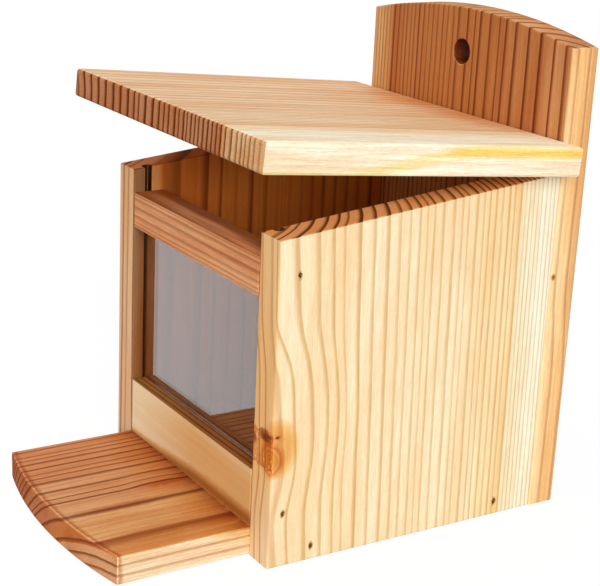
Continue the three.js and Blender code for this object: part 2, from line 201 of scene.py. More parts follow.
def ringTable(board):
    across, depth = board["seenFrom"]
    rings = [(math.hypot(line - across, depth), *rest) for line, *rest in board["lines"]]
    rings += board.get("radii", [])
    rings.sort()
    chance = random.Random(board["seed"])
    while rings[0][0] - board["innerStep"] > 0:
        rings.insert(0, (rings[0][0] - board["innerStep"], chance.uniform(*board["usual"])))
    while rings[-1][0] < board["outermost"]:
        step = board["outerStep"] * chance.uniform(*larch["stepSpread"])
        rings.append((rings[-1][0] + step, chance.uniform(*board["usual"])))
    inner, outer = board["lateFrom"]
    span = rings[-1][0] - rings[0][0]
    usual = [inner + (outer - inner) * (ring[0] - rings[0][0]) / span for ring in rings]
    return [(ring[0], ring[1], ring[2] if len(ring) > 2 else start) for ring, start in zip(rings, usual)]


def fillCurve(node, points):
    curve = node.mapping.curves[0]
    while len(curve.points) < len(points):
        curve.points.new(0.5, 0.5)
    for point, place in zip(curve.points, points):
        point.location = place
        point.handle_type = "VECTOR"
    node.mapping.update()


def distanceFrom(tree, position, knot):
    off = addNode(tree, "ShaderNodeVectorMath", {0: position, 1: [value * mm for value in knot["at"]]},
                  operation="SUBTRACT")
    if "along" in knot:
        axis = Vector(knot["along"]).normalized()
        onAxis = addNode(tree, "ShaderNodeVectorMath", {0: off.outputs[0], 1: axis}, operation="DOT_PRODUCT")
        foot = addNode(tree, "ShaderNodeVectorMath", {0: axis, "Scale": onAxis.outputs["Value"]}, operation="SCALE")
        off = addNode(tree, "ShaderNodeVectorMath", {0: off.outputs[0], 1: foot.outputs[0]}, operation="SUBTRACT")
    off = addNode(tree, "ShaderNodeVectorMath", {0: off.outputs[0], 1: knot.get("squeeze", (1, 1, 1))},
                  operation="MULTIPLY")
    return addNode(tree, "ShaderNodeVectorMath", {0: off.outputs[0]}, operation="LENGTH").outputs["Value"]


def bentAlong(tree, position, guide, bend):
    height = addNode(tree, "ShaderNodeVectorMath", {0: guide, 1: bend["axis"]}, operation="DOT_PRODUCT")
    share = addNode(tree, "ShaderNodeMapRange", {
        "Value": height.outputs["Value"], "From Min": bend["from"] * mm, "From Max": bend["to"] * mm,
    }, interpolation_type="SMOOTHSTEP")
    return addNode(tree, "ShaderNodeVectorMath", {
        0: share.outputs[0], 1: [-value * mm for value in bend["by"]], 2: position,
    }, operation="MULTIPLY_ADD").outputs[0]


def strayFrom(tree, position, pattern, reach, length):
    noise = addNode(tree, "ShaderNodeTexNoise", {
        "Vector": pattern, "Scale": 1 / length, "Detail": 1.0, "Roughness": 0.5,
    })
    centred = addNode(tree, "ShaderNodeVectorMath", {0: noise.outputs["Color"], 1: (0.5, 0.5, 0.5)},
                      operation="SUBTRACT")
    return addNode(tree, "ShaderNodeVectorMath", {0: centred.outputs[0], 1: reach, 2: position},
                   operation="MULTIPLY_ADD").outputs[0]


def larchMaterial(board):
    material, tree = newMaterial(board["name"])
    rings = ringTable(board)
    inner, outer = rings[0][0] * mm, rings[-1][0] * mm
    count = len(rings) - 1
    coords = addNode(tree, "ShaderNodeTexCoord")
    log = addNode(tree, "ShaderNodeMapping", {
        "Vector": coords.outputs["Object"],
        "Location": [value * mm for value in board["pith"]],
        "Rotation": [math.radians(value) for value in board["lay"]],
    }, vector_type="TEXTURE")
    drawn = addNode(tree, "ShaderNodeMapping", {
        "Vector": log.outputs[0], "Scale": (1, 1, larch["grainStretch"]), "Location": (0, 0, board["seed"]),
    })

    # Rings: the distance from the pith, strayed a little, bent where the trunk was, swollen round knots
    strayed = log.outputs[0]
    for key in ("wander", "ragged"):
        reach = 2 * larch[key] * board.get("wildness", 1.0)
        strayed = strayFrom(tree, strayed, drawn.outputs[0], (reach, reach, 0), larch[key + "Length"])
    if "bend" in board:
        strayed = bentAlong(tree, strayed, log.outputs[0], board["bend"])
    flat = addNode(tree, "ShaderNodeVectorMath", {0: strayed, 1: (1, 1, 0)}, operation="MULTIPLY")
    radius = addNode(tree, "ShaderNodeVectorMath", {0: flat.outputs[0]}, operation="LENGTH").outputs["Value"]
    for swell in board.get("swells", ()):
        near = addNode(tree, "ShaderNodeMapRange", {
            "Value": distanceFrom(tree, coords.outputs["Object"], swell), "From Min": swell["core"] * mm,
            "From Max": swell["spread"] * mm, "To Min": swell["push"] * mm, "To Max": 0.0,
        }, interpolation_type="SMOOTHERSTEP")
        radius = addNode(tree, "ShaderNodeMath", {0: radius, 1: near.outputs[0]}, operation="SUBTRACT").outputs[0]

    # The sawn ends drink in light: darker, and their latewood looks broader and stands out more
    facing = addNode(tree, "ShaderNodeVectorMath", {0: coords.outputs["Normal"], 1: board["fibre"]},
                     operation="DOT_PRODUCT")
    facing = addNode(tree, "ShaderNodeMath", {0: facing.outputs["Value"]}, operation="ABSOLUTE")
    sawn = addNode(tree, "ShaderNodeMapRange", {
        "Value": facing.outputs[0], "From Min": larch["sawnFrom"], "From Max": larch["sawnFull"],
    }, interpolation_type="SMOOTHSTEP")
    contrast = addNode(tree, "ShaderNodeMapRange", {
        "Value": sawn.outputs[0], "To Min": board["contrast"], "To Max": larch["sawnBold"],
    })

    # Years counted off the ring table, how boldly each one was written and where its latewood starts
    reach = addNode(tree, "ShaderNodeMapRange", {"Value": radius, "From Min": inner, "From Max": outer})
    table = addNode(tree, "ShaderNodeFloatCurve", {"Value": reach.outputs[0]})
    fillCurve(table, [((ring[0] * mm - inner) / (outer - inner), i / count) for i, ring in enumerate(rings)])
    years = addNode(tree, "ShaderNodeMath", {0: table.outputs[0], 1: count}, operation="MULTIPLY")
    season = addNode(tree, "ShaderNodeMath", {0: years.outputs[0]}, operation="FRACT")
    year = addNode(tree, "ShaderNodeMath", {0: years.outputs[0]}, operation="CEIL")
    year = addNode(tree, "ShaderNodeMath", {0: year.outputs[0], 1: count}, operation="DIVIDE")
    strength = addNode(tree, "ShaderNodeFloatCurve", {"Value": year.outputs[0]})
    fillCurve(strength, [(i / count, ring[1]) for i, ring in enumerate(rings)])
    starts = addNode(tree, "ShaderNodeFloatCurve", {"Value": year.outputs[0]})
    fillCurve(starts, [(i / count, ring[2]) for i, ring in enumerate(rings)])
    start = addNode(tree, "ShaderNodeMath", {0: sawn.outputs[0], 1: -larch["sawnBroader"], 2: starts.outputs[0]},
                    operation="MULTIPLY_ADD")
    rise = addNode(tree, "ShaderNodeMapRange", {
        "Value": season.outputs[0], "From Min": start.outputs[0], "From Max": larch["darkest"],
    }, interpolation_type="SMOOTHSTEP")
    fall = addNode(tree, "ShaderNodeMapRange", {
        "Value": season.outputs[0], "From Min": larch["breaksOff"], "To Min": 1.0, "To Max": 0.0,
    })
    late = addNode(tree, "ShaderNodeMath", {0: rise.outputs[0], 1: fall.outputs[0]}, operation="MULTIPLY")
    late = addNode(tree, "ShaderNodeMath", {0: late.outputs[0], 1: strength.outputs[0]}, operation="MULTIPLY")
    late = addNode(tree, "ShaderNodeMath", {0: late.outputs[0], 1: contrast.outputs[0]}, operation="MULTIPLY",
                   use_clamp=True)
    if "fade" in board:
        faded = addNode(tree, "ShaderNodeMapRange", {
            "Value": distanceFrom(tree, coords.outputs["Object"], board["fade"]),
            "From Min": board["fade"]["core"] * mm, "From Max": board["fade"]["size"] * mm,
            "To Min": board["fade"]["to"], "To Max": 1.0,
        })
        late = addNode(tree, "ShaderNodeMath", {0: late.outputs[0], 1: faded.outputs[0]}, operation="MULTIPLY")

    # Colour: zones of heartwood and sapwood, each with its earlywood and latewood, drifting in tone; on the top rail
    # the outer zone carries painted shade
    looks = []
    for begins, blend, *codes in board["zones"]:
        zoneLooks = [hexColor(code) for code in codes]
        if not looks:
            looks = zoneLooks
            continue
        zone = addNode(tree, "ShaderNodeMapRange", {
            "Value": radius, "From Min": (begins - blend) * mm, "From Max": (begins + blend) * mm,
        }, interpolation_type="SMOOTHSTEP")
        looks = [addNode(tree, "ShaderNodeMix", {0: zone.outputs[0], 6: inside, 7: outside},
                         data_type="RGBA").outputs[2] for inside, outside in zip(looks, zoneLooks)]
    early, lateColor, sawnEarly = looks
    tone = addNode(tree, "ShaderNodeTexNoise", {
        "Vector": drawn.outputs[0], "Scale": 1 / larch["toneWidth"], "Detail": 2.0,
    })
    low, high = larch["toneRange"]
    tone = addNode(tree, "ShaderNodeMapRange", {"Value": tone.outputs["Fac"], "From Min": low, "From Max": high},
                   interpolation_type="SMOOTHSTEP")
    tint = addNode(tree, "ShaderNodeMix", {0: tone.outputs[0], 6: (1, 1, 1, 1), 7: hexColor(board["ruddy"])},
                   data_type="RGBA")
    early = addNode(tree, "ShaderNodeMix", {0: sawn.outputs[0], 6: early, 7: sawnEarly}, data_type="RGBA")
    early = addNode(tree, "ShaderNodeMix", {0: 1.0, 6: early.outputs[2], 7: tint.outputs[2]},
                    data_type="RGBA", blend_type="MULTIPLY")
    stain = addNode(tree, "ShaderNodeMath", {0: sawn.outputs[0], 1: larch["sawnStain"]}, operation="MULTIPLY")
    lateColor = addNode(tree, "ShaderNodeMix", {
        0: stain.outputs[0], 6: lateColor, 7: hexColor(board["sawnLate"]),
    }, data_type="RGBA")
    color = addNode(tree, "ShaderNodeMix", {0: late.outputs[0], 6: early.outputs[2], 7: lateColor.outputs[2]},
                    data_type="RGBA").outputs[2]

    # Bundles of fibres drawn out along the board, the darker the redder, and the pores that open on its ends
    streaked = addNode(tree, "ShaderNodeMapping", {
        "Vector": log.outputs[0], "Scale": (1, 1, larch["fibreStretch"]),
    })
    fibres = addNode(tree, "ShaderNodeTexNoise", {
        "Vector": streaked.outputs[0], "Scale": 1 / larch["fibreWidth"], "Detail": 2.0, "Roughness": 0.6,
    })
    bands = addNode(tree, "ShaderNodeTexNoise", {
        "Vector": streaked.outputs[0], "Scale": 1 / larch["bandWidth"], "Detail": 1.0,
    })
    flecks = addNode(tree, "ShaderNodeTexNoise", {
        "Vector": drawn.outputs[0], "Scale": 1 / larch["fleckWidth"], "Detail": 2.0, "Roughness": 0.7,
    })
    pores = addNode(tree, "ShaderNodeTexNoise", {
        "Vector": coords.outputs["Object"], "Scale": 1 / larch["poreWidth"], "Detail": 1.0, "Roughness": 0.7,
    })
    low, high = larch["fibreRange"]
    streak = addNode(tree, "ShaderNodeMapRange", {
        "Value": fibres.outputs["Fac"], "From Min": low, "From Max": high,
        "To Min": 1 - board["streaks"], "To Max": 1 + board["streaks"],
    })
    along = streak
    low, high = larch["coarseRange"]
    for noise in (bands, flecks):
        broader = addNode(tree, "ShaderNodeMapRange", {
            "Value": noise.outputs["Fac"], "From Min": low, "From Max": high,
            "To Min": 1 - board["streaks"] * larch["broaderShare"],
            "To Max": 1 + board["streaks"] * larch["broaderShare"],
        })
        along = addNode(tree, "ShaderNodeMath", {0: along.outputs[0], 1: broader.outputs[0]}, operation="MULTIPLY")
    pore = addNode(tree, "ShaderNodeMapRange", {
        "Value": pores.outputs["Fac"], "From Min": low, "From Max": high,
        "To Min": 1 - larch["poreDepth"], "To Max": 1 + larch["poreDepth"],
    })
    texture = addNode(tree, "ShaderNodeMix", {0: sawn.outputs[0], 2: along.outputs[0], 3: pore.outputs[0]})
    warmed = addNode(tree, "ShaderNodeVectorMath", {
        0: texture.outputs[0], 1: larch["streakColors"], 2: [1 - share for share in larch["streakColors"]],
    }, operation="MULTIPLY_ADD")
    color = addNode(tree, "ShaderNodeVectorMath", {0: color, 1: warmed.outputs[0]}, operation="MULTIPLY").outputs[0]

    # Knots, stains and bruises tint what lies round their point or axis, and so do painted shade and painted shadows:
    # in the drilled hole, in the grooves and on faces that lie in shade
    for spot in board.get("spots", ()):
        reach = spot["ragged"] * mm
        ragged = strayFrom(tree, coords.outputs["Object"], coords.outputs["Object"], (reach, reach, reach),
                           larch["spotRagged"])
        if "bend" in spot:
            ragged = bentAlong(tree, ragged, coords.outputs["Object"], spot["bend"])
        ramp = addNode(tree, "ShaderNodeMapRange", {
            "Value": distanceFrom(tree, ragged, spot), "From Max": spot["size"] * mm,
        })
        tints = addNode(tree, "ShaderNodeValToRGB", {"Fac": ramp.outputs[0]})
        stops = tints.color_ramp.elements
        while len(stops) < len(spot["tints"]):
            stops.new(0.5)
        for stop, (place, code) in zip(stops, spot["tints"]):
            stop.position = place
            stop.color = hexColor(code)
        color = addNode(tree, "ShaderNodeMix", {0: 1.0, 6: color, 7: tints.outputs["Color"]},
                        data_type="RGBA", blend_type="MULTIPLY").outputs[2]

    # Surface: a low satin from the planer along the fibre, coarse on the ends
    gloss, rough = [addNode(tree, "ShaderNodeMapRange", {
        "Value": sawn.outputs[0], "To Min": larch[key][0], "To Max": larch[key][1],
    }) for key in ("gloss", "roughness")]
    rough = addNode(tree, "ShaderNodeMath", {
        0: fibres.outputs["Fac"], 1: larch["fibreRoughness"], 2: rough.outputs[0],
    }, operation="MULTIPLY_ADD")
    relief = addNode(tree, "ShaderNodeMix", {0: sawn.outputs[0], 2: fibres.outputs["Fac"], 3: pores.outputs["Fac"]})
    relief = addNode(tree, "ShaderNodeMath", {0: late.outputs[0], 1: larch["lateRelief"], 2: relief.outputs[0]},
                     operation="MULTIPLY_ADD")
    bump = addNode(tree, "ShaderNodeBump", {
        "Height": relief.outputs[0], "Distance": larch["bump"], "Strength": larch["bumpStrength"],
    })
    surface = addNode(tree, "ShaderNodeBsdfPrincipled", {
        "Base Color": color, "Roughness": rough.outputs[0], "IOR": 1.45, "Specular IOR Level": gloss.outputs[0],
        "Normal": bump.outputs[0],
    })
    addNode(tree, "ShaderNodeOutputMaterial", {"Surface": surface.outputs[0]})
    return material


# Millimetres here. Each line is (distance from the face's first edge, how bold, where its latewood starts),
# seenFrom is the pith from that edge and behind that face, radii are rings counted from the pith itself, and
# the steps carry the rings on where no line is given. Zones are (radius where it begins, blend, earlywood,
# latewood, earlywood on a sawn end). Spots, swells and fades lie round a point, or round a line through it
# where there is an "along", and a squeeze flattens them into ellipsoids, sheets and bands.
boards = {
    "right_side": {
        "name": "planed larch, pale outer board",
        "pith": (47.2, -87.5, 0), "lay": (0, -3.05, 0), "fibre": (0, 0, 1), "seed": 3,
        "seenFrom": (-26.5, 68),
        "lines": [(12, 0.9), (26, 0.8), (36, 0.9), (43, 0.6), (54, 1), (64, 0.75), (74, 0.9), (82, 0.65),
                  (89, 0.7), (96, 0.75), (101, 0.55), (106, 0.8), (113, 0.7), (121, 0.75), (127, 0.65),
                  (131, 0.6), (138, 0.8), (143, 0.7), (147, 0.8), (152, 0.8), (157, 0.6), (162, 0.9),
                  (166, 0.7), (171, 0.9)],
        "radii": [(50, 0.9), (55.8, 1), (66, 0.6), (70.2, 0.9)],
        "innerStep": 6.5, "outerStep": 3.1, "outermost": 250, "usual": (0.5, 0.9),
        "lateFrom": (0.66, 0.42), "contrast": 0.75, "streaks": 0.09, "wildness": 0.6,
        "zones": [(0, 0, "#fae0b6", "#c47c34", "#f4aa6a"), (66, 3, "#fae5c0", "#cc984a", "#f4ae70"),
                  (186, 8, "#f6d8a6", "#c89044", "#f0a462"), (209, 2, "#faf0d6", "#c4ad78", "#f2b67c")],
        "ruddy": "#fbeedd", "sawnLate": "#6a2404",
        "swells": [{"at": (104, -61, 92), "along": (0.97, 0.25, 0.03), "core": 22, "spread": 72, "push": 4.5}],
        "spots": [
            {"at": (104, -61, 130), "size": 1.3, "squeeze": (0, 1, 0.0104), "ragged": 0.1,
             "tints": [(0, "#ffe7c6"), (0.55, "#ffe7c6"), (1, "#ffffff")]},
            {"at": (101.8, -61, 70), "along": (0.7, -0.7, 0.03), "size": 10.5, "squeeze": (1.2, 1.2, 0.8),
             "ragged": 1.2,
             "tints": [(0, "#f8dcba"), (0.08, "#e6c09e"), (0.14, "#faead0"), (0.26, "#eaccaa"), (0.33, "#fcf0d8"),
                       (0.46, "#eaccaa"), (0.54, "#fef2dc"), (0.7, "#e2b49c"), (0.8, "#f8e0c8"), (1, "#ffffff")]},
            {"at": (110, -57, 77), "size": 19, "squeeze": (1, 1.2, 0.9), "ragged": 1.5,
             "tints": [(0, "#f6dcba"), (0.3, "#f2d2a4"), (0.5, "#eabf88"), (0.7, "#f2d09c"), (0.9, "#fcecd0"),
                       (1, "#ffffff")]},
            {"at": (93, -61, 74), "along": (1, 0, 0), "size": 12.5, "squeeze": (1, 12, 1), "ragged": 5,
             "tints": [(0, "#f4dcbe"), (0.5, "#f2d6b2"), (0.75, "#eac8a0"), (0.9, "#d8b08a"), (1, "#ffffff")]},
            {"at": (96.5, -61, 83.5), "size": 5, "squeeze": (0.6, 1, 1), "ragged": 4,
             "tints": [(0, "#a88058"), (0.3, "#906844"), (0.6, "#bc9670"), (1, "#ffffff")]},
            {"at": (83, -61, 78), "size": 3.5, "squeeze": (0.8, 1, 0.8), "ragged": 2,
             "tints": [(0, "#a07450"), (0.5, "#c09468"), (1, "#ffffff")]},
            {"at": (104, -57.5, 84.5), "along": (1, 0, 0), "size": 1.8, "squeeze": (1, 0.75, 1.3), "ragged": 0.8,
             "tints": [(0, "#7a5030"), (0.35, "#96683c"), (0.7, "#ecd0a4"), (1, "#ffffff")]},
        ],
    },
    "left_side": {
        "name": "planed larch, honey coloured board",
        "pith": (-175, -100, 0), "lay": (0.4, 0.8, 0), "fibre": (0, 0, 1), "seed": 11,
        "seenFrom": (0, 0), "lines": [(78, 0.5), (86.5, 0.9), (92, 0.6), (118, 0.8), (132, 1)],
        "innerStep": 6, "outerStep": 9, "outermost": 300, "usual": (0.2, 1.0),
        "lateFrom": (0.62, 0.5), "contrast": 0.8, "streaks": 0.12,
        "zones": [(0, 0, "#f4caa0", "#80441c", "#e29765"), (102.6, 2, "#d29054", "#6e3610", "#c26b33")],
        "ruddy": "#f4dcc0", "sawnLate": "#7a4424",
        "spots": [
            # Painted shade: the narrow strip of the inner face in front of the groove, darkened from the platform up
            # past the rail
            {"at": (-82.2, -57.5, 121), "size": 6, "squeeze": (3, 1, 0.03), "ragged": 0.3,
             "tints": [(0, "#978571"), (0.72, "#978571"), (1, "#ffffff")]},
            # Painted shade: the whole inner face behind the pane darkened, for the shade inside the box
            {"at": (-82, 50, 0), "size": 93, "squeeze": (58, 1, 0), "ragged": 0.1,
             "tints": [(0, "#ebc384"), (0.97, "#ebc384"), (1, "#ffffff")]},
        ],
    },
    "back_board": {
        "name": "planed larch, red-brown heartwood",
        "pith": (112, 124, 0), "lay": (-0.2, 0, 0), "fibre": (0, 0, 1), "seed": 7,
        "seenFrom": (216, 13), "bend": {"axis": (0, 0, 1), "from": 160, "to": 80, "by": (0, 5, 0)},
        "lines": [(199.6, 0.9), (189.4, 1), (176.4, 1), (165, 1), (152.4, 0.9), (143, 0.9), (137, 0.8), (127, 0.8),
                  (117, 0.9), (112, 0.8), (104, 0.9), (94, 0.7), (89, 0.6), (83, 0.6), (78, 0.7), (72, 0.6),
                  (67, 0.7), (62, 0.6), (57, 0.7), (52, 0.9), (47, 0.6), (43, 0.6), (38, 0.7), (34, 0.6),
                  (29, 0.7), (23, 0.9)],
        "innerStep": 9, "outerStep": 4.2, "outermost": 260, "usual": (0.5, 0.9),
        "lateFrom": (0.68, 0.4), "contrast": 1.0, "streaks": 0.15,
        "zones": [(0, 0, "#fddca6", "#9b4610", "#fde6c0"), (33, 8, "#cd9a68", "#78360e", "#e4caa4"),
                  (75, 5, "#c9955c", "#74340e", "#e4c8a4"), (195, 2, "#e8d0a0", "#94662e", "#ecd8b0")],
        "fade": {"at": (104, 149, 0), "along": (0, 0, 1), "core": 0.5, "size": 1.5, "squeeze": (1, 0.03, 1),
                 "to": 0.45},
        "ruddy": "#f0d6bc", "sawnLate": "#ac7850",
        "spots": [
            {"at": (104, 141, 157), "along": (1, 0.1, 0), "size": 2.0, "squeeze": (1, 1, 0.7), "ragged": 0.8,
             "tints": [(0, "#80502c"), (0.4, "#a07048"), (0.8, "#f0d8b8"), (1, "#ffffff")]},
            # Painted shade: the walls of the drilled hole darkened, darkest in a thin ring at its rim
            {"at": (-3, 149, 283), "along": (0, 1, 0), "size": 8.8, "ragged": 0.9,
             "tints": [(0, "#8a6040"), (0.88, "#8a6040"), (0.93, "#5c402c"), (1, "#ffffff")]},
            # Painted shade: the whole board darkened except its right edge face, darkest just inside that edge, so
            # the edge face looks more strongly lit
            {"at": (104, 149, 0), "along": (0, 0, 1), "size": 40, "squeeze": (1, 0.03, 1), "ragged": 0.2,
             "tints": [(0, "#ffffff"), (0.02, "#ffffff"), (0.06, "#ceb0a3"), (0.4, "#dcb8a4"), (0.8, "#f2cfb4"),
                       (1, "#f2cfb4")]},
        ],
    },
    "floor_board": {
        "name": "planed larch, orange-brown heartwood",
        "pith": (84, 0, -120), "lay": (-90, 0, 0.4), "fibre": (0, 1, 0), "seed": 5,
        "seenFrom": (166, 138.5), "wildness": 1.3,
        "lines": [(140, 0.9, 0.72), (101.5, 0.85, 0.77), (82.5, 1, 0.8), (76.5, 0.9, 0.6), (65.5, 0.9), (51.5, 0.9),
                  (44.5, 0.9), (38.5, 0.8), (30.5, 1), (22.5, 0.9), (16.5, 0.9), (11.5, 0.8), (3, 0.8)],
        "radii": [(126.7, 0.7), (133.2, 0.8)],
        "innerStep": 7, "outerStep": 5, "outermost": 260, "usual": (0.6, 1),
        "lateFrom": (0.6, 0.62), "contrast": 0.95, "streaks": 0.2,
        "zones": [(0, 0, "#f6ddb8", "#b9844e", "#dea272"), (137.9, 0.35, "#dc9654", "#94420c", "#c66d31"),
                  (140.9, 0.3, "#e2aa70", "#762c04", "#cc7c43"),
                  (152.7, 1.5, "#da9c68", "#762c04", "#cc8052")],
        "ruddy": "#f2d8c0", "sawnLate": "#8a4a2e",
        "swells": [{"at": (0, -84, 19), "along": (0, 0, 1), "core": 4, "spread": 26, "push": 1.1}],
        "spots": [
            # Darker towards the kick board: partly a stain, partly painted shadow of the kick board on the platform
            {"at": (0, -61, 19), "along": (1, 0, 0), "size": 34, "squeeze": (1, 1, 3), "ragged": 3,
             "tints": [(0, "#a8805c"), (0.1, "#c8a480"), (0.3, "#e2ca9e"), (0.7, "#f8eeda"), (1, "#ffffff")]},
            # Painted shade: the platform inside the box darkened
            {"at": (0, 50, 19), "size": 91, "squeeze": (0.2, 1, 3), "ragged": 0.1,
             "tints": [(0, "#b09474"), (0.97, "#b09474"), (1, "#ffffff")]},
            # A thin darker line just inside the curved front edge of the top
            {"at": (1, 182.2, 19), "along": (0, 0, 1), "size": 343.2, "ragged": 2.5,
             "tints": [(0, "#ffffff"), (0.982, "#ffffff"), (0.987, "#d2aa88"), (0.9895, "#d2aa88"),
                       (0.992, "#ffffff"), (1, "#ffffff")]},
            {"at": (4, -78, 19), "size": 5, "squeeze": (1, 0.2, 1), "ragged": 3,
             "tints": [(0, "#dcac84"), (0.5, "#ecc8a4"), (1, "#ffffff")]},
            {"at": (23, -118, 19), "size": 6, "squeeze": (1, 0.14, 1), "ragged": 3,
             "tints": [(0, "#e4b890"), (0.5, "#f0d0b0"), (1, "#ffffff")]},
        ],
    },
    "kick_board": {
        "name": "planed larch, plain cream board",
        "pith": (0, 20, 2), "lay": (0, 90, 0.6), "fibre": (1, 0, 0), "seed": 2,
        "seenFrom": (0, 0), "lines": [(83, 0.9), (86.5, 1), (89.5, 0.8), (92.5, 1), (96, 1)], "innerStep": 4,
        "outerStep": 3.4, "outermost": 160, "usual": (0.3, 0.8), "lateFrom": (0.45, 0.45), "contrast": 0.9,
        "streaks": 0.04, "zones": [(0, 0, "#fdeac6", "#7c4c20", "#c27f4d")],
        "fade": {"at": (0, -61, 38), "along": (1, 0, 0), "core": 0.3, "size": 1.2, "squeeze": (1, 1, 0.01),
                 "to": 0.03},
        "ruddy": "#f8e8d0", "sawnLate": "#5f3018",
        "spots": [
            # Painted shadow: a soft dark band along the foot of the front face, where it stands on the platform
            {"at": (-60, -54, 15), "along": (1, 0, 0), "size": 8, "squeeze": (1, 0.3, 1), "ragged": 1.8,
             "bend": {"axis": (1, 0, 0), "from": -80, "to": 30, "by": (0, 0, 7)},
             "tints": [(0, "#a87c4c"), (0.3, "#b88c5c"), (0.65, "#e4c69e"), (1, "#ffffff")]},
            {"at": (82, -54, 30), "along": (0, 0, 1), "size": 150, "squeeze": (1, 0, 1), "ragged": 2,
             "tints": [(0, "#eccfae"), (0.5, "#ecd2b4"), (1, "#ffffff")]},
            # Painted shadow on the top face, where the right side casts it: all of it darkened, the front strip the
            # most
            {"at": (0, -51, 57.3), "along": (1, 0, 0), "size": 1.4, "squeeze": (1, 0.04, 1), "ragged": 0.2,
             "tints": [(0, "#d4b07c"), (0.7, "#d4b07c"), (1, "#ffffff")]},
            {"at": (0, -59, 57.3), "along": (1, 0, 0), "size": 3.5, "squeeze": (1, 0.3, 2.6), "ragged": 0.2,
             "tints": [(0, "#c4ac90"), (0.7, "#c4ac90"), (1, "#ffffff")]},
        ],
    },
    "top_rail": {
        "name": "planed larch, pinkish heartwood",
        "pith": (0, -54, 102), "lay": (0, 90, -0.3), "fibre": (1, 0, 0), "seed": 9,
        "seenFrom": (0, 0), "lines": [(61, 0.4), (65, 0.5), (67.3, 0.5), (71.5, 0.55), (77.6, 0.65),
                                      (83, 0.6), (85.4, 0.6)],
        "innerStep": 4, "outerStep": 4, "outermost": 120, "usual": (0.4, 0.9), "wildness": 1.2,
        "lateFrom": (0.35, 0.35), "contrast": 0.9, "streaks": 0.2,
        # The second zone, beyond 86 mm, takes in just the top face: its darker colours are painted shade from the lid
        # over it
        "zones": [(0, 0, "#eead78", "#8e4416", "#b75c2c"), (86, 0.3, "#9c5616", "#542408", "#772b04")],
        "ruddy": "#f0d4c0", "sawnLate": "#5f3018",
    },
    "lid": {
        "name": "planed larch, light orange board",
        "pith": (-152, 137, 223), "lay": (-95.4, 0, 0.4), "fibre": (0, 0.9956, -0.0941), "seed": 4,
        "seenFrom": (-30, 21.25),
        "lines": [(10, 0.9), (21.5, 0.8), (33, 0.9), (44, 0.9), (56, 0.9), (66.5, 1), (77.5, 0.9), (86, 0.8),
                  (92, 0.8), (102, 1), (112, 0.9), (120, 0.8), (126, 0.8), (132, 0.9), (140, 0.9), (144.5, 0.8),
                  (151, 1), (154.5, 0.9), (160, 0.9), (164.5, 0.9), (169, 0.9), (174.5, 0.9), (180, 1), (185, 0.9),
                  (190, 0.8), (195, 0.9), (200, 0.8), (207, 0.7), (213, 0.6), (218, 0.7), (222, 0.6), (227, 0.6),
                  (232, 0.5), (238, 0.35)],
        "innerStep": 10, "outerStep": 4.5, "outermost": 300, "usual": (0.5, 0.9),
        "radii": [(300, 0.5)], "lateFrom": (0.6, 0.4), "contrast": 0.55, "streaks": 0.18,
        "zones": [(0, 0, "#f0cca2", "#a8683a", "#c6865c"), (227, 1.5, "#fbebce", "#e4bc74", "#eebf8c")],
        "ruddy": "#f6e0ca", "sawnLate": "#62280c",
        "spots": [
            {"at": (122, -85.3, 245), "along": (0, 0.9956, -0.0941), "size": 5, "squeeze": (0.5, 1, 1), "ragged": 2.5,
             "bend": {"axis": (0, 1, 0), "from": -45, "to": 65, "by": (0, 0, 16.5)},
             "tints": [(0, "#faf0c6"), (0.45, "#fcf4d2"), (1, "#ffffff")]},
            {"at": (120.6, -85.3, 260.9), "along": (0.006, 0.9956, -0.0941), "size": 4, "ragged": 1,
             "bend": {"axis": (0, 1, 0), "from": 60, "to": 10, "by": (7, 0, 0)},
             "tints": [(0, "#f6e28c"), (0.35, "#faeab4"), (1, "#ffffff")]},
            # Painted shade: the rear of the top darkened and warmed next to the back board
            {"at": (-14, 137, 240), "size": 42, "squeeze": (0.36, 1, 1), "ragged": 5,
             "tints": [(0, "#e8c09c"), (0.35, "#efcfb2"), (1, "#ffffff")]},
        ],
    },
}
# Painted shade in the milled grooves, dark on their walls and floor, and the fibre torn and bruised round each driven
# brad
paintedGrooveShade = {
    "along": (0, 0, 1), "size": 6.8, "squeeze": (1.6, 1.9, 1), "ragged": 0.1,
    "tints": [(0, "#4a2c18"), (0.88, "#4a2c18"), (1, "#ffffff")],
}
tornFibre = {
    "size": 2.3, "squeeze": (0.6, 1.1, 0.62), "ragged": 2.2,
    "tints": [(0, "#6a4c30"), (0.42, "#8c6c48"), (0.62, "#dcc49c"), (1, "#ffffff")],
}
for hand, outerFace, groove in (("left", -104, -84.6), ("right", 104, 84.6)):
    spots = boards[hand + "_side"]["spots"]
    # painted shade inside this side's groove
    spots.append({"at": (groove, -50.7, 0), **paintedGrooveShade})
    for name in ("rail", "kick", "floor_front", "floor_rear"):
        heads = [vertex.co for vertex in nodes[hand + "_" + name + "_brad"].data.vertices]
        middle = sum(heads, Vector()) / len(heads)
        spots.append({"at": (outerFace, middle.y / mm, middle.z / mm), **tornFibre})
for node, board in boards.items():
    wear(larchMaterial(board), node)
print("boards grained:", len(boards))


# Clear acrylic with a scratch-resistant hard coat: it mirrors the white room and shows the dark inside
clear = {"tint": "#f3e6de", "roughness": 0.02, "ior": 1.49, "coatIor": 1.52}
acrylic, tree = newMaterial("clear hard-coated acrylic")
surface = addNode(tree, "ShaderNodeBsdfPrincipled", {
    "Base Color": hexColor(clear["tint"]), "Roughness": clear["roughness"], "IOR": clear["ior"],
    "Transmission Weight": 1.0,
    "Coat Weight": 1.0, "Coat Roughness": clear["roughness"], "Coat IOR": clear["coatIor"],
})
addNode(tree, "ShaderNodeOutputMaterial", {"Surface": surface.outputs[0]})
wear(acrylic, "window_pane")

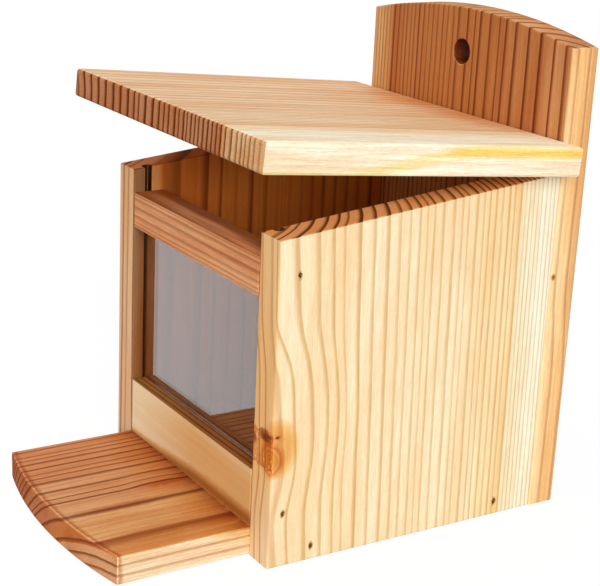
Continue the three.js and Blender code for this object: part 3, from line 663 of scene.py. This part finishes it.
# Zinc-plated steel, pressed and barrel plated: a soft grey sheen with faint blotches. Bare steel wire of
# the brads, darkened by the tannin of the wood round it: brown stains, hardly a sheen.
metals = {
    "zinc-plated pressed steel": {
        "blotch": 2.5 * mm, "detail": 3.0, "colors": ("#b9bcc0", "#d6d7d8"), "metallic": 1.0,
        "roughness": (0.25, 0.45), "nodes": [name for name in nodes if "hinge" in name or "screw" in name],
    },
    "tannin-darkened brad wire": {
        "blotch": 0.8 * mm, "detail": 2.0, "colors": ("#2c2018", "#6a4a2c"), "metallic": 0.3,
        "roughness": 0.7, "nodes": [name for name in nodes if "brad" in name],
    },
}
for name, metal in metals.items():
    metal["material"], tree = newMaterial(name)
    coords = addNode(tree, "ShaderNodeTexCoord")
    blotch = addNode(tree, "ShaderNodeTexNoise", {
        "Vector": coords.outputs["Object"], "Scale": 1 / metal["blotch"], "Detail": metal["detail"],
    }).outputs["Fac"]
    shade = addNode(tree, "ShaderNodeMix", {
        0: blotch, 6: hexColor(metal["colors"][0]), 7: hexColor(metal["colors"][1]),
    }, data_type="RGBA")
    rough = metal["roughness"]
    if isinstance(rough, tuple):
        spread = addNode(tree, "ShaderNodeMapRange", {"Value": blotch, "To Min": rough[0], "To Max": rough[1]})
        rough = spread.outputs[0]
    surface = addNode(tree, "ShaderNodeBsdfPrincipled", {
        "Base Color": shade.outputs[2], "Metallic": metal["metallic"], "Roughness": rough,
    })
    addNode(tree, "ShaderNodeOutputMaterial", {"Surface": surface.outputs[0]})
    wear(metal["material"], *metal["nodes"])
print("pane and metal finished")


# Screws and brads grown by geometry nodes on the places of the solids that they stand for.
# The trees take every size by name, so one tree serves the board screws and the small leaf screws.
def fastenerTree(name, numbers, vectors):
    tree = bpy.data.node_groups.new(name, "GeometryNodeTree")
    tree.interface.new_socket("Geometry", in_out="INPUT", socket_type="NodeSocketGeometry")
    tree.interface.new_socket("Geometry", in_out="OUTPUT", socket_type="NodeSocketGeometry")
    for key in numbers:
        tree.interface.new_socket(key, in_out="INPUT", socket_type="NodeSocketFloat")
    for key in vectors:
        tree.interface.new_socket(key, in_out="INPUT", socket_type="NodeSocketVector")
    tree.interface.new_socket("Metal", in_out="INPUT", socket_type="NodeSocketMaterial")
    return tree, addNode(tree, "NodeGroupInput").outputs


def onPoints(tree, points, instance, material):
    facing = addNode(tree, "GeometryNodeInputNamedAttribute", {"Name": "facing"}, data_type="FLOAT_VECTOR")
    spin = addNode(tree, "GeometryNodeInputNamedAttribute", {"Name": "spin"}, data_type="FLOAT")
    aimed = addNode(tree, "FunctionNodeAlignRotationToVector", {"Vector": facing.outputs["Attribute"]}, axis="Z")
    twist = addNode(tree, "FunctionNodeAxisAngleToRotation", {
        "Axis": (0, 0, 1), "Angle": spin.outputs["Attribute"],
    })
    turned = addNode(tree, "FunctionNodeRotateRotation", {
        "Rotation": aimed.outputs[0], "Rotate By": twist.outputs[0],
    }, rotation_space="LOCAL")
    placed = addNode(tree, "GeometryNodeInstanceOnPoints", {
        "Points": points, "Instance": instance, "Rotation": turned.outputs[0],
    })
    real = addNode(tree, "GeometryNodeRealizeInstances", {"Geometry": placed.outputs[0]})
    painted = addNode(tree, "GeometryNodeSetMaterial", {"Geometry": real.outputs[0], "Material": material})
    addNode(tree, "NodeGroupOutput", {"Geometry": painted.outputs[0]})


def screwSizes(radius, length, cut):
    rim = 0.12 * cut["headDepth"]
    return {
        "Head Radius": radius,
        "Rim Radius": 0.95 * radius,
        "Rim Depth": rim,
        "Cone Depth": cut["headDepth"] - rim,
        "Neck Radius": 0.8 * cut["shank"],
        "Core Radius": 0.72 * cut["shank"],
        "Ridge Radius": 0.2 * cut["shank"],
        "Tip Radius": 0.1 * cut["shank"],
        "Shank Length": length - cut["headDepth"],
        "Thread Length": 0.9 * (length - cut["headDepth"]),
        "Thread Turns": cut["turns"],
        "Recess Radius": 0.5 * cut["reach"],
        "Recess Tip": 0.2 * cut["reach"],
        "Recess Depth": 1.3 * cut["depth"],
        "Arm Size": (2 * cut["reach"], 0.42 * cut["reach"], 2 * cut["depth"]),
        "Recess Lift": (0, 0, 0.05 * cut["depth"]),
        "Cone Drop": (0, 0, -rim),
        "Shank Drop": (0, 0, -cut["headDepth"]),
        "Thread Drop": (0, 0, -1.1 * cut["headDepth"]),
    }


def screwTree(numbers, vectors):
    tree, size = fastenerTree("cross-head screws on points", numbers, vectors)
    over = (math.pi, 0, 0)

    # Countersunk head with a rolled rim, its flat at z = 0, and a cross recess with a tapered heart
    rim = addNode(tree, "GeometryNodeMeshCone", {
        "Vertices": 48, "Radius Top": size["Head Radius"], "Radius Bottom": size["Rim Radius"],
        "Depth": size["Rim Depth"],
    })
    rim = addNode(tree, "GeometryNodeTransform", {"Geometry": rim.outputs["Mesh"], "Rotation": over})
    cone = addNode(tree, "GeometryNodeMeshCone", {
        "Vertices": 48, "Radius Top": size["Neck Radius"], "Radius Bottom": size["Head Radius"],
        "Depth": size["Cone Depth"],
    })
    cone = addNode(tree, "GeometryNodeTransform", {
        "Geometry": cone.outputs["Mesh"], "Translation": size["Cone Drop"], "Rotation": over,
    })
    arm = addNode(tree, "GeometryNodeMeshCube", {"Size": size["Arm Size"]})
    otherArm = addNode(tree, "GeometryNodeTransform", {
        "Geometry": arm.outputs["Mesh"], "Rotation": (0, 0, math.pi / 2),
    })
    heart = addNode(tree, "GeometryNodeMeshCone", {
        "Vertices": 8, "Radius Top": size["Recess Tip"], "Radius Bottom": size["Recess Radius"],
        "Depth": size["Recess Depth"],
    })
    heart = addNode(tree, "GeometryNodeTransform", {
        "Geometry": heart.outputs["Mesh"], "Translation": size["Recess Lift"], "Rotation": over,
    })
    solid = addNode(tree, "GeometryNodeMeshBoolean", operation="UNION", solver="EXACT")
    for part in (rim, cone):
        tree.links.new(part.outputs[0], solid.inputs["Mesh 2"])
    cut = addNode(tree, "GeometryNodeMeshBoolean", {"Mesh 1": solid.outputs["Mesh"]}, operation="DIFFERENCE",
                  solver="EXACT")
    for part in (arm, otherArm, heart):
        tree.links.new(part.outputs[0], cut.inputs["Mesh 2"])

    # Core, point and a thread that winds down it
    core = addNode(tree, "GeometryNodeMeshCone", {
        "Vertices": 20, "Side Segments": 6, "Radius Top": size["Tip Radius"], "Radius Bottom": size["Core Radius"],
        "Depth": size["Shank Length"],
    })
    core = addNode(tree, "GeometryNodeTransform", {
        "Geometry": core.outputs["Mesh"], "Translation": size["Shank Drop"], "Rotation": over,
    })
    helix = addNode(tree, "GeometryNodeCurveSpiral", {
        "Resolution": 18, "Rotations": size["Thread Turns"], "Start Radius": size["Core Radius"],
        "End Radius": size["Ridge Radius"], "Height": size["Thread Length"],
    })
    helix = addNode(tree, "GeometryNodeTransform", {
        "Geometry": helix.outputs["Curve"], "Translation": size["Thread Drop"], "Rotation": over,
    })
    ridge = addNode(tree, "GeometryNodeCurvePrimitiveCircle", {"Resolution": 3, "Radius": size["Ridge Radius"]})
    thread = addNode(tree, "GeometryNodeCurveToMesh", {
        "Curve": helix.outputs[0], "Profile Curve": ridge.outputs["Curve"], "Fill Caps": True,
    })
    whole = addNode(tree, "GeometryNodeJoinGeometry")
    for part in (cut, core, thread):
        tree.links.new(part.outputs[0], whole.inputs[0])
    onPoints(tree, size["Geometry"], whole.outputs[0], size["Metal"])
    return tree


def bradSizes(radius, length, cut):
    return {
        "Head Radius": radius,
        "Head Depth": 0.8 * radius,
        "Dent Depth": -0.25 * radius,
        "Wire Radius": 0.9 * cut["wire"],
        "Tip Radius": 0.3 * cut["wire"],
        "Wire Length": 0.97 * length,
        "Wire Drop": (0, 0, -0.4 * radius),
    }


hammered = {"narrow": 0.42, "dentLength": 0.9 * mm}


def bradTree(numbers, vectors):
    tree, size = fastenerTree("T-head brads on points", numbers, vectors)

    # A pressed head, long one way and narrow the other, hammered a little out of true
    head = addNode(tree, "GeometryNodeMeshCylinder", {
        "Vertices": 20, "Side Segments": 3, "Fill Segments": 3, "Radius": size["Head Radius"],
        "Depth": size["Head Depth"],
    })
    head = addNode(tree, "GeometryNodeTransform", {
        "Geometry": head.outputs["Mesh"], "Translation": size["Wire Drop"], "Scale": (1.0, hammered["narrow"], 1.0),
    })
    dents = addNode(tree, "ShaderNodeTexNoise", {"Scale": 1 / hammered["dentLength"], "Detail": 1.0})
    dent = addNode(tree, "ShaderNodeMapRange", {
        "Value": dents.outputs["Fac"], "To Min": size["Dent Depth"], "To Max": 0.0,
    })
    dent = addNode(tree, "ShaderNodeCombineXYZ", {2: dent.outputs[0]})
    head = addNode(tree, "GeometryNodeSetPosition", {"Geometry": head.outputs[0], "Offset": dent.outputs[0]})
    rod = addNode(tree, "GeometryNodeMeshCone", {
        "Vertices": 12, "Side Segments": 5, "Radius Top": size["Tip Radius"], "Radius Bottom": size["Wire Radius"],
        "Depth": size["Wire Length"],
    })
    rod = addNode(tree, "GeometryNodeTransform", {
        "Geometry": rod.outputs["Mesh"], "Translation": size["Wire Drop"], "Rotation": (math.pi, 0, 0),
    })
    whole = addNode(tree, "GeometryNodeJoinGeometry")
    for part in (head, rod):
        tree.links.new(part.outputs[0], whole.inputs[0])
    onPoints(tree, size["Geometry"], whole.outputs[0], size["Metal"])
    return tree


def growOn(name, tree, places, sizes):
    mesh = bpy.data.meshes.new(name + "Points")
    mesh.from_pydata([spot for spot, facing, spin in places], [], [])
    for key, kind, values in (("facing", "FLOAT_VECTOR", [facing for spot, facing, spin in places]),
                              ("spin", "FLOAT", [spin for spot, facing, spin in places])):
        layer = mesh.attributes.new(key, kind, "POINT")
        for entry, value in zip(layer.data, values):
            setattr(entry, "vector" if kind == "FLOAT_VECTOR" else "value", value)
    seedling = bpy.data.objects.new(name + "Points", mesh)
    scene.collection.objects.link(seedling)
    modifier = seedling.modifiers.new("grow", "NODES")
    modifier.node_group = tree
    sockets = {item.name: item.identifier for item in tree.interface.items_tree if item.in_out == "INPUT"}
    for key, value in sizes.items():
        modifier[sockets[key]] = value
    depsgraph = bpy.context.evaluated_depsgraph_get()
    solid = bpy.data.meshes.new_from_object(seedling.evaluated_get(depsgraph), depsgraph=depsgraph)
    piece = bpy.data.objects.new(name, solid)
    scene.collection.objects.link(piece)
    bpy.data.objects.remove(seedling)
    return piece


rimTolerance = 0.02 * mm


def solidFastener(name, facing):
    facing = Vector(facing).normalized()
    points = [vertex.co for vertex in nodes[name].data.vertices]
    top = max(point.dot(facing) for point in points)
    rim = [point for point in points if top - point.dot(facing) < rimTolerance]
    spot = sum(rim, Vector()) / len(rim)
    return {
        "spot": spot,
        "facing": facing,
        "radius": max((point - spot).length for point in rim),
        "length": top - min(point.dot(facing) for point in points),
    }


lidTilt = math.radians(5.4)
lidDown = (0, -math.sin(lidTilt), -math.cos(lidTilt))
screws = {
    "sizes": screwSizes, "tree": screwTree, "metal": metals["zinc-plated pressed steel"]["material"],
    "slot": "zinc_steel",
}
leafCut = {"headDepth": 1.5 * mm, "shank": 0.9 * mm, "reach": 1.25 * mm, "depth": 1.0 * mm, "turns": 10.0}
fastenerSets = {
    "board_screws": {
        **screws, "body": "box", "spins": (0.2, 1.1, 0.7, 1.4, 0.4, 0.9, 0.1, 1.3),
        "nodes": [(name, (0, 1, 0)) for name in sorted(nodes) if name.startswith("back_screw")],
        "cut": {"headDepth": 2.9 * mm, "shank": 1.6 * mm, "reach": 1.9 * mm, "depth": 1.7 * mm, "turns": 15.0},
    },
    "leaf_screws_box": {
        **screws, "body": "box", "spins": (0.5, 1.2, 0.0, 0.8), "cut": leafCut,
        "nodes": [(name, (0, -1, 0)) for name in sorted(nodes) if "hinge_back_screw" in name],
    },
    "leaf_screws_lid": {
        **screws, "body": "lid", "spins": (0.9, 0.3, 1.4, 0.6), "cut": leafCut,
        "nodes": [(name, lidDown) for name in sorted(nodes) if "hinge_lid_screw" in name],
    },
    "side_brads": {
        "sizes": bradSizes, "tree": bradTree, "metal": metals["tannin-darkened brad wire"]["material"],
        "slot": "zinc_steel", "body": "box", "cut": {"wire": 0.6 * mm},
        "spins": (0.7, 2.2, 1.0, 1.5, 2.5, 2.3, 2.2, 2.0),
        "nodes": [(name, (-1 if name.startswith("left") else 1, 0, 0)) for name in sorted(nodes) if "brad" in name],
    },
}
for name, made in fastenerSets.items():
    found = [solidFastener(node, facing) for node, facing in made["nodes"]]
    places = [(place["spot"], place["facing"], spin) for place, spin in zip(found, made["spins"])]
    sizes = made["sizes"](found[0]["radius"], found[0]["length"], made["cut"])
    vectors = [key for key, value in sizes.items() if isinstance(value, tuple)]
    tree = made["tree"]([key for key in sizes if key not in vectors], vectors)
    piece = growOn(name, tree, places, {**sizes, "Metal": made["metal"]})
    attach(piece, made["body"])
    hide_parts(*[node for node, facing in made["nodes"]])
    print(name, len(found), "of radius", round(found[0]["radius"] / mm, 2), "length",
          round(found[0]["length"] / mm, 2), "faces", len(piece.data.polygons))
print("fasteners grown")
